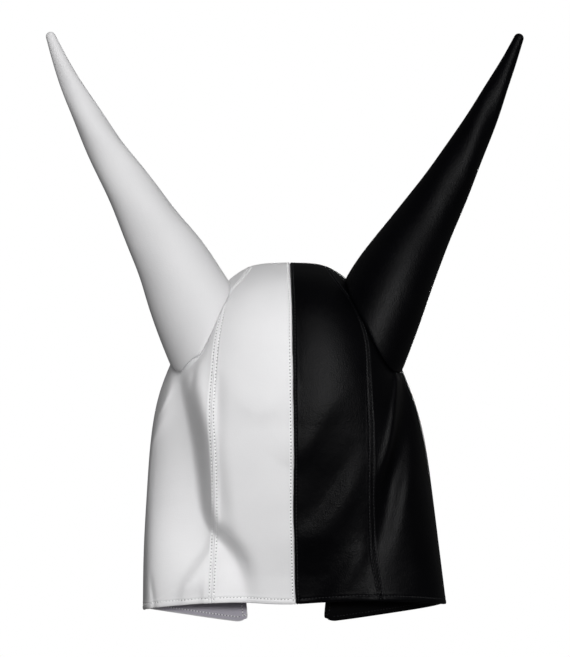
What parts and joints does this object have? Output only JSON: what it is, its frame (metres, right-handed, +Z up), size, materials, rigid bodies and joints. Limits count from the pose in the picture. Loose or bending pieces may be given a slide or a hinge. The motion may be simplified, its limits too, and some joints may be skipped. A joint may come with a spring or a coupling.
{
  "type": "devil horns hat",
  "caption": "Black and white leather hood hat with a seamed centre strip, side panels that end in chin flaps, an open face and tall stuffed horns.",
  "frame": {"origin": "where the inside of the crown sits on the wearer's head, at the mount head_seat", "axes": "+Z up, +Y forward out of the face opening, +X towards the wearer's right"},
  "size_m": [0.3832, 0.2157, 0.4816],
  "materials": {
    "leather_white": "satin",
    "leather_black": "satin"
  },
  "bodies": {
    "root": {"centre_panel_left": "leather_white", "side_panel_left": "leather_white", "horn_left": "leather_white", "centre_panel_right": "leather_black", "side_panel_right": "leather_black", "horn_right": "leather_black"}
  },
  "joints": []
}
